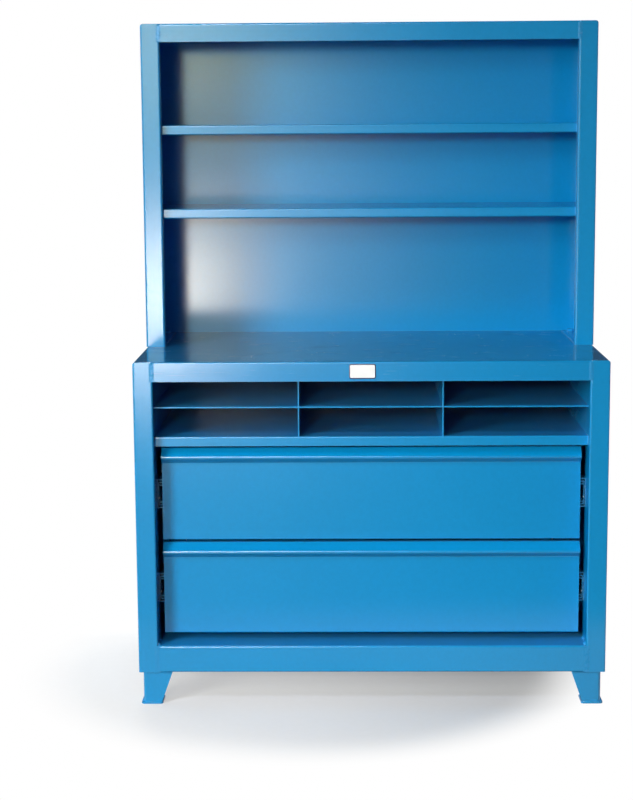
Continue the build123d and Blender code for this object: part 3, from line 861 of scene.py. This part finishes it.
def camera_axes(turn):
    """Right, up and forward from yaw, pitch and roll.

    Forward is turned from Y by the yaw and tipped down by the pitch. Right stays level, up is
    square to both, and the roll then turns right and up about forward.
    """
    yaw, pitch, roll = turn
    forward = Vector((
        math.sin(yaw) * math.cos(pitch), math.cos(yaw) * math.cos(pitch), -math.sin(pitch),
    ))
    right = Vector((math.cos(yaw), -math.sin(yaw), 0))
    up = right.cross(forward)
    rolled_right = right * math.cos(roll) + up * math.sin(roll)
    rolled_up = up * math.cos(roll) - right * math.sin(roll)
    return rolled_right, rolled_up, forward


class CABINET_OT_studio(bpy.types.Operator):
    """Set up the floor, the lamps, the world and the camera"""

    bl_idname = "cabinet.studio"
    bl_label = "Studio"

    def execute(self, context):
        settings = context.scene.cabinet_studio
        self.camera(context, settings)
        self.floor()
        self.reflected_room()
        self.world(context, settings)
        self.lamps(settings)
        return {"FINISHED"}

    def camera(self, context, settings):
        camera = bpy.data.cameras.new("camera")
        camera.sensor_width = SENSOR
        camera.lens = settings.focal_pixels * SENSOR / IMAGE_HEIGHT
        holder = bpy.data.objects.new("camera", camera)
        context.scene.collection.objects.link(holder)
        right, up, forward = camera_axes(settings.camera_turn)
        turn = Matrix((right, up, -forward)).transposed()
        holder.matrix_world = Matrix.Translation(settings.camera_place) @ turn.to_4x4()
        context.scene.camera = holder

    def floor(self):
        """A pale floor that glows a little and fades to white away from the object. Near the object
        the glow is weaker to the right, a painted shadow.
        """
        paint = paint_for("pale_floor")
        seen = seen_mask(paint)
        grain = paint.noise(0.02, 3.0)
        tone = paint.mix(grain, (0.44, 0.44, 0.43, 1), (0.47, 0.47, 0.46, 1))
        plain = paint.node("ShaderNodeBsdfDiffuse", sockets={"Color": tone})
        black, white = (0, 0, 0, 1), (1, 1, 1, 1)
        left_glow, shaded_right_glow = (0.47, 0.46, 0.45, 1), (0.28, 0.275, 0.27, 1)
        middle, fade_start, fade_end = (-0.17, 0, 0), 0.6, 0.82
        # Glow weaker towards the right: a painted shadow, darkest under the right of the cabinet
        soft = paint.mix(paint.along("X").between(-0.4, 0.5), left_glow, shaded_right_glow)
        glow = paint.node("ShaderNodeEmission", sockets={"Color": paint.mix(seen, black, soft)})
        near = paint.node("ShaderNodeAddShader", sockets={0: plain, 1: glow})
        far = paint.node("ShaderNodeEmission", sockets={"Color": paint.mix(seen, black, white)})
        spot = paint.vector("SUBTRACT", paint.place(), middle)
        distance = paint.vector("LENGTH", spot, (0, 0, 0), "Value")
        away = distance.between(fade_start, fade_end)
        both = paint.node("ShaderNodeMixShader", sockets={0: away, 1: near, 2: far})
        ring_sheet("floor", 14.0, 0.0, paint.finished(both))

    def reflected_room(self):
        """A room that only reflections show, with windows on the left and open on the right.

        It is dim on the right, and dark behind and above.
        """
        paint = paint_for("reflected_room")
        right_light, left_light = (0.2, 0.22, 0.25, 1), (0.66, 0.64, 0.6, 1)
        dark = (0.04, 0.045, 0.06, 1)
        light = paint.mix(paint.along("X").between(0.7, -1.0), right_light, left_light)
        in_front = paint.along("Y").between(1.0, -1.0) * paint.along("Z").between(6.5, 4.5)
        light = paint.mix(in_front, dark, light)
        # Centre, spread along each axis and colour of each window
        windows = (
            ((-1.17, -5.6, 0.54), (0.25, 0.5, 0.25), (38, 34, 28)),
            ((-0.65, -5.4, 0.78), (0.58, 1.0, 0.42), (3.5, 3.2, 2.9)),
            ((-1.15, -5.6, 2.0), (0.55, 1.0, 0.48), (6.0, 5.4, 1.4)),
            ((-1.2, -5.6, 3.9), (0.62, 1.0, 0.6), (46, 48, 50)),
            ((-6.0, -3.0, 2.8), (1.0, 1.0, 0.7), (9, 9.5, 10)),
        )
        for centre, spread, colour in windows:
            spot = paint.tinted(paint.glow(centre, spread), colour)
            light = paint.vector("ADD", light, spot)
        finish = paint.finished(paint.node("ShaderNodeEmission", sockets={"Color": light}))
        left, right, near, front, back = -6.0, 9.0, -1.1, -5.6, 4.0
        ground, roof = 0.004, 8.0
        points = [
            (left, near, ground), (right, near, ground), (right, front, ground),
            (left, front, ground), (right, front, roof), (left, front, roof),
            (right, back, roof), (left, back, roof), (right, back, ground), (left, back, ground),
        ]
        # Floor, front, roof, back and left wall
        faces = [(0, 3, 2, 1), (3, 5, 4, 2), (5, 7, 6, 4), (7, 9, 8, 6), (0, 9, 7, 5, 3)]
        mesh = bpy.data.meshes.new("reflected_room")
        mesh.from_pydata(points, [], faces)
        mesh.materials.append(finish)
        card = bpy.data.objects.new("reflected_room", mesh)
        bpy.context.scene.collection.objects.link(card)
        card.visible_camera = False
        card.visible_diffuse = False
        card.visible_shadow = False
        card.visible_transmission = False

    def world(self, context, settings):
        """White to look at, and a faint warm light from all round."""
        world = bpy.data.worlds.new("studio")
        paint = Paint(world)
        seen = seen_mask(paint)
        cast = scaled((1.0, 0.94, 0.8), settings.ambient)
        colour = paint.mix(seen, cast, (1, 1, 1, 1))
        background = paint.node("ShaderNodeBackground", sockets={"Color": colour})
        context.scene.world = paint.finished(background)

    def lamps(self, settings):
        """Each lamp by its place, the spot it points at, its size and its level."""
        wide, medium, narrow = math.radians(92), math.radians(82), math.radians(60)
        warm, blue = (1.0, 0.98, 0.9), (0.84, 0.98, 1.3)
        area_lamp("key", (-1.05, -5.4, 1.84), (0.4, -0.3, 0.3), 0.3, settings.key, wide, warm)
        area_lamp("left", (-3.6, -4.6, 2.0), (0.2, -0.3, 0.2), 1.6, settings.left, medium, warm)
        area_lamp("high", (-2.5, -3.2, 3.9), (0.2, -0.3, 0.2), 0.9, settings.high, narrow, blue)
        area_lamp("top", (-0.6, 1.7, 4.4), (0, 0, 0.5), 1.5, settings.top)
        area_lamp("right", (4.4, 1.4, 2.2), (0.6, 0, 0.8), 1.8, settings.right)
        area_lamp("back_right", (2.4, 4.0, 2.4), (0, 0.3, 0.6), 1.8, settings.back)
        area_lamp("back_left", (-3.6, 2.2, 2.2), (0, 0.3, 0.6), 1.8, settings.back)


def seen_mask(paint):
    """One for what the eye sees direct, mirrored or through glass, zero for light that is cast."""
    rays = paint.node("ShaderNodeLightPath", output="Is Camera Ray")
    glossy = paint.node("ShaderNodeLightPath", output="Is Glossy Ray")
    through = paint.node("ShaderNodeLightPath", output="Is Transmission Ray")
    return rays.larger(glossy).larger(through)


def ring_sheet(name, radius, height, material):
    """A round sheet: rings of points at even angles whose radii grow by a fixed ratio."""
    count, rings, smallest = 96, 14, 0.02
    angle = np.arange(count) / count * 2 * np.pi
    radii = radius * np.geomspace(smallest, 1.0, rings)
    points = np.stack([
        radii[:, None] * np.cos(angle), radii[:, None] * np.sin(angle),
        np.full((len(radii), count), height),
    ], axis=-1).reshape(-1, 3)
    ring = np.arange(len(radii) - 1)[:, None] * count
    step = np.arange(count)
    after = (step + 1) % count
    outer = ring + count
    quads = np.stack([ring + step, outer + step, outer + after, ring + after], axis=-1)
    middle = list(range(count))
    mesh = bpy.data.meshes.new(name)
    mesh.from_pydata(points.tolist(), [], quads.reshape(-1, 4).tolist() + [middle])
    mesh.materials.append(material)
    sheet = bpy.data.objects.new(name, mesh)
    bpy.context.scene.collection.objects.link(sheet)
    return sheet


class CABINET_PT_finishes(bpy.types.Panel):
    """Buttons for each group of pieces"""

    bl_idname = "CABINET_PT_finishes"
    bl_label = "Bench cabinet"
    bl_space_type = "VIEW_3D"
    bl_region_type = "UI"
    bl_category = "Cabinet"

    def draw(self, context):
        scene = context.scene
        for group in (scene.cabinet_enamel, scene.cabinet_pieces, scene.cabinet_studio):
            for name in group.bl_rna.properties.keys():
                if name not in ("rna_type", "name"):
                    self.layout.prop(group, name)
        for operator in OPERATORS:
            self.layout.operator(operator.bl_idname)


OPERATORS = (
    CABINET_OT_enamel, CABINET_OT_steel, CABINET_OT_name_plate, CABINET_OT_welds,
    CABINET_OT_screws, CABINET_OT_ball_cages, CABINET_OT_studio,
)
CLASSES = (EnamelSettings, PieceSettings, StudioSettings, *OPERATORS, CABINET_PT_finishes)


def register():
    for cls in CLASSES:
        bpy.utils.register_class(cls)
    bpy.types.Scene.cabinet_enamel = bpy.props.PointerProperty(type=EnamelSettings)
    bpy.types.Scene.cabinet_pieces = bpy.props.PointerProperty(type=PieceSettings)
    bpy.types.Scene.cabinet_studio = bpy.props.PointerProperty(type=StudioSettings)


def unregister():
    del bpy.types.Scene.cabinet_studio
    del bpy.types.Scene.cabinet_pieces
    del bpy.types.Scene.cabinet_enamel
    for cls in reversed(CLASSES):
        bpy.utils.unregister_class(cls)


def main():
    """Run every operator in order."""
    register()
    bpy.context.scene.view_settings.view_transform = "Standard"
    bpy.ops.cabinet.enamel()
    bpy.ops.cabinet.steel()
    bpy.ops.cabinet.name_plate()
    bpy.ops.cabinet.welds()
    bpy.ops.cabinet.screws()
    bpy.ops.cabinet.ball_cages()
    bpy.ops.cabinet.studio()


if __name__ == "__main__":
    main()
